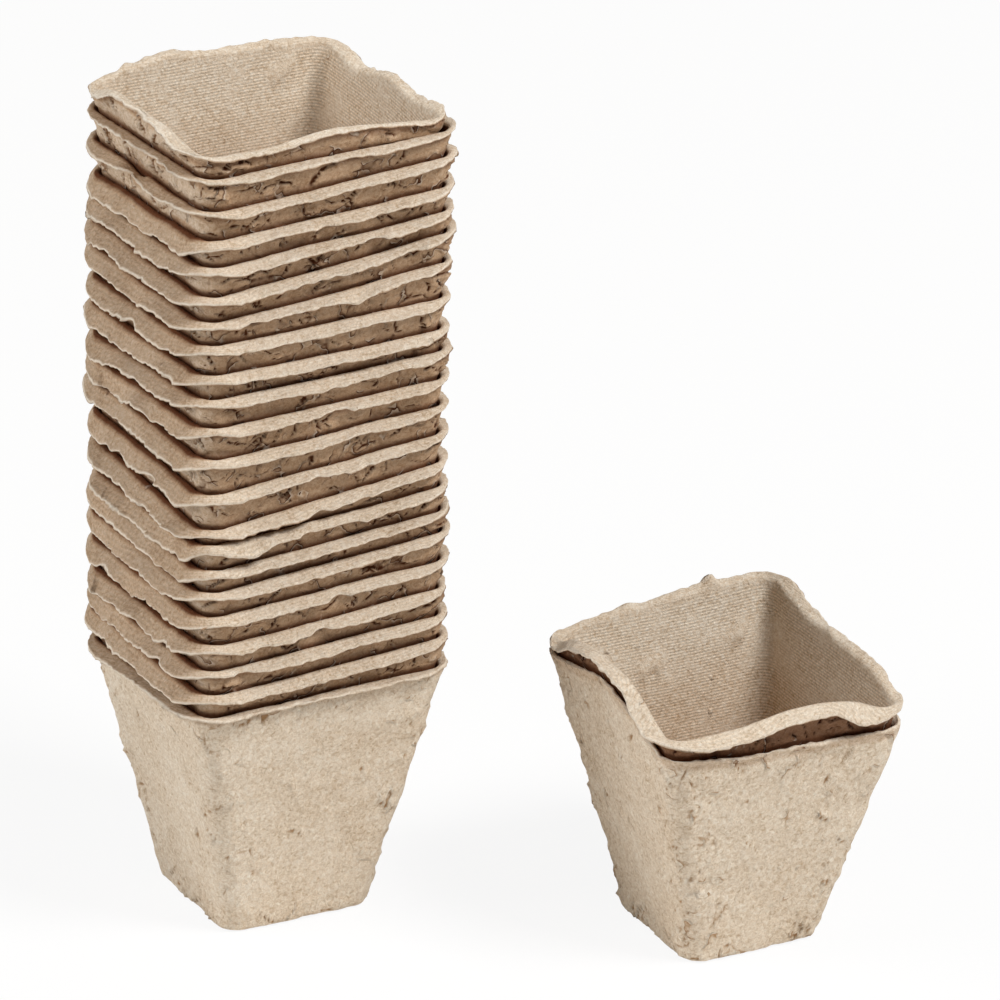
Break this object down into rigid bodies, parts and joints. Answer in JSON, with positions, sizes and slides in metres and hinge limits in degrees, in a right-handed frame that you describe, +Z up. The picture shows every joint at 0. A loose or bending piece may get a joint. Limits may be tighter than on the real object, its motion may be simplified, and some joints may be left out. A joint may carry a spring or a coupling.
{
  "type": "peat pot",
  "caption": "Square tapered peat pots of moulded fibre with out-turned lips, packed as a tall nested stack with a nested pair standing beside it.",
  "frame": {"origin": "centre of the bottom stack pot's base, on the ground", "axes": "+Z up along the stack, -Y towards the stack's wide front wall, +X towards the pair's side"},
  "size_m": [0.1395, 0.1144, 0.1817],
  "materials": {
    "peat_fibre": "rough dry moulded peat and wood fibre"
  },
  "bodies": {
    "stack_pot_01": {"stack_pot_01": "peat_fibre"},
    "stack_pot_02": {"stack_pot_02": "peat_fibre"},
    "stack_pot_03": {"stack_pot_03": "peat_fibre"},
    "stack_pot_04": {"stack_pot_04": "peat_fibre"},
    "stack_pot_05": {"stack_pot_05": "peat_fibre"},
    "stack_pot_06": {"stack_pot_06": "peat_fibre"},
    "stack_pot_07": {"stack_pot_07": "peat_fibre"},
    "stack_pot_08": {"stack_pot_08": "peat_fibre"},
    "stack_pot_09": {"stack_pot_09": "peat_fibre"},
    "stack_pot_10": {"stack_pot_10": "peat_fibre"},
    "stack_pot_11": {"stack_pot_11": "peat_fibre"},
    "stack_pot_12": {"stack_pot_12": "peat_fibre"},
    "stack_pot_13": {"stack_pot_13": "peat_fibre"},
    "stack_pot_14": {"stack_pot_14": "peat_fibre"},
    "stack_pot_15": {"stack_pot_15": "peat_fibre"},
    "stack_pot_16": {"stack_pot_16": "peat_fibre"},
    "stack_pot_17": {"stack_pot_17": "peat_fibre"},
    "stack_pot_18": {"stack_pot_18": "peat_fibre"},
    "stack_pot_19": {"stack_pot_19": "peat_fibre"},
    "stack_pot_20": {"stack_pot_20": "peat_fibre"},
    "stack_pot_21": {"stack_pot_21": "peat_fibre"},
    "stack_pot_22": {"stack_pot_22": "peat_fibre"},
    "pair_outer_pot": {"pair_outer_pot": "peat_fibre"},
    "pair_inner_pot": {"pair_inner_pot": "peat_fibre"}
  },
  "joints": [
    {"name": "lift_stack_pot_02", "type": "slide", "parent": "stack_pot_01", "child": "stack_pot_02", "axis": [0, 0, 1], "range_m": [0, 0.06]},
    {"name": "lift_stack_pot_03", "type": "slide", "parent": "stack_pot_02", "child": "stack_pot_03", "axis": [0, 0, 1], "range_m": [0, 0.06]},
    {"name": "lift_stack_pot_04", "type": "slide", "parent": "stack_pot_03", "child": "stack_pot_04", "axis": [0, 0, 1], "range_m": [0, 0.06]},
    {"name": "lift_stack_pot_05", "type": "slide", "parent": "stack_pot_04", "child": "stack_pot_05", "axis": [0, 0, 1], "range_m": [0, 0.06]},
    {"name": "lift_stack_pot_06", "type": "slide", "parent": "stack_pot_05", "child": "stack_pot_06", "axis": [0, 0, 1], "range_m": [0, 0.06]},
    {"name": "lift_stack_pot_07", "type": "slide", "parent": "stack_pot_06", "child": "stack_pot_07", "axis": [0, 0, 1], "range_m": [0, 0.06]},
    {"name": "lift_stack_pot_08", "type": "slide", "parent": "stack_pot_07", "child": "stack_pot_08", "axis": [0, 0, 1], "range_m": [0, 0.06]},
    {"name": "lift_stack_pot_09", "type": "slide", "parent": "stack_pot_08", "child": "stack_pot_09", "axis": [0, 0, 1], "range_m": [0, 0.06]},
    {"name": "lift_stack_pot_10", "type": "slide", "parent": "stack_pot_09", "child": "stack_pot_10", "axis": [0, 0, 1], "range_m": [0, 0.06]},
    {"name": "lift_stack_pot_11", "type": "slide", "parent": "stack_pot_10", "child": "stack_pot_11", "axis": [0, 0, 1], "range_m": [0, 0.06]},
    {"name": "lift_stack_pot_12", "type": "slide", "parent": "stack_pot_11", "child": "stack_pot_12", "axis": [0, 0, 1], "range_m": [0, 0.06]},
    {"name": "lift_stack_pot_13", "type": "slide", "parent": "stack_pot_12", "child": "stack_pot_13", "axis": [0, 0, 1], "range_m": [0, 0.06]},
    {"name": "lift_stack_pot_14", "type": "slide", "parent": "stack_pot_13", "child": "stack_pot_14", "axis": [0, 0, 1], "range_m": [0, 0.06]},
    {"name": "lift_stack_pot_15", "type": "slide", "parent": "stack_pot_14", "child": "stack_pot_15", "axis": [0, 0, 1], "range_m": [0, 0.06]},
    {"name": "lift_stack_pot_16", "type": "slide", "parent": "stack_pot_15", "child": "stack_pot_16", "axis": [0, 0, 1], "range_m": [0, 0.06]},
    {"name": "lift_stack_pot_17", "type": "slide", "parent": "stack_pot_16", "child": "stack_pot_17", "axis": [0, 0, 1], "range_m": [0, 0.06]},
    {"name": "lift_stack_pot_18", "type": "slide", "parent": "stack_pot_17", "child": "stack_pot_18", "axis": [0, 0, 1], "range_m": [0, 0.06]},
    {"name": "lift_stack_pot_19", "type": "slide", "parent": "stack_pot_18", "child": "stack_pot_19", "axis": [0, 0, 1], "range_m": [0, 0.06]},
    {"name": "lift_stack_pot_20", "type": "slide", "parent": "stack_pot_19", "child": "stack_pot_20", "axis": [0, 0, 1], "range_m": [0, 0.06]},
    {"name": "lift_stack_pot_21", "type": "slide", "parent": "stack_pot_20", "child": "stack_pot_21", "axis": [0, 0, 1], "range_m": [0, 0.06]},
    {"name": "lift_stack_pot_22", "type": "slide", "parent": "stack_pot_21", "child": "stack_pot_22", "axis": [0, 0, 1], "range_m": [0, 0.06]},
    {"name": "lift_pair_outer_pot", "type": "slide", "parent": "stack_pot_01", "child": "pair_outer_pot", "axis": [0, 0, 1], "range_m": [0, 0.06]},
    {"name": "lift_pair_inner_pot", "type": "slide", "parent": "pair_outer_pot", "child": "pair_inner_pot", "axis": [0, 0, 1], "range_m": [0, 0.06]}
  ]
}
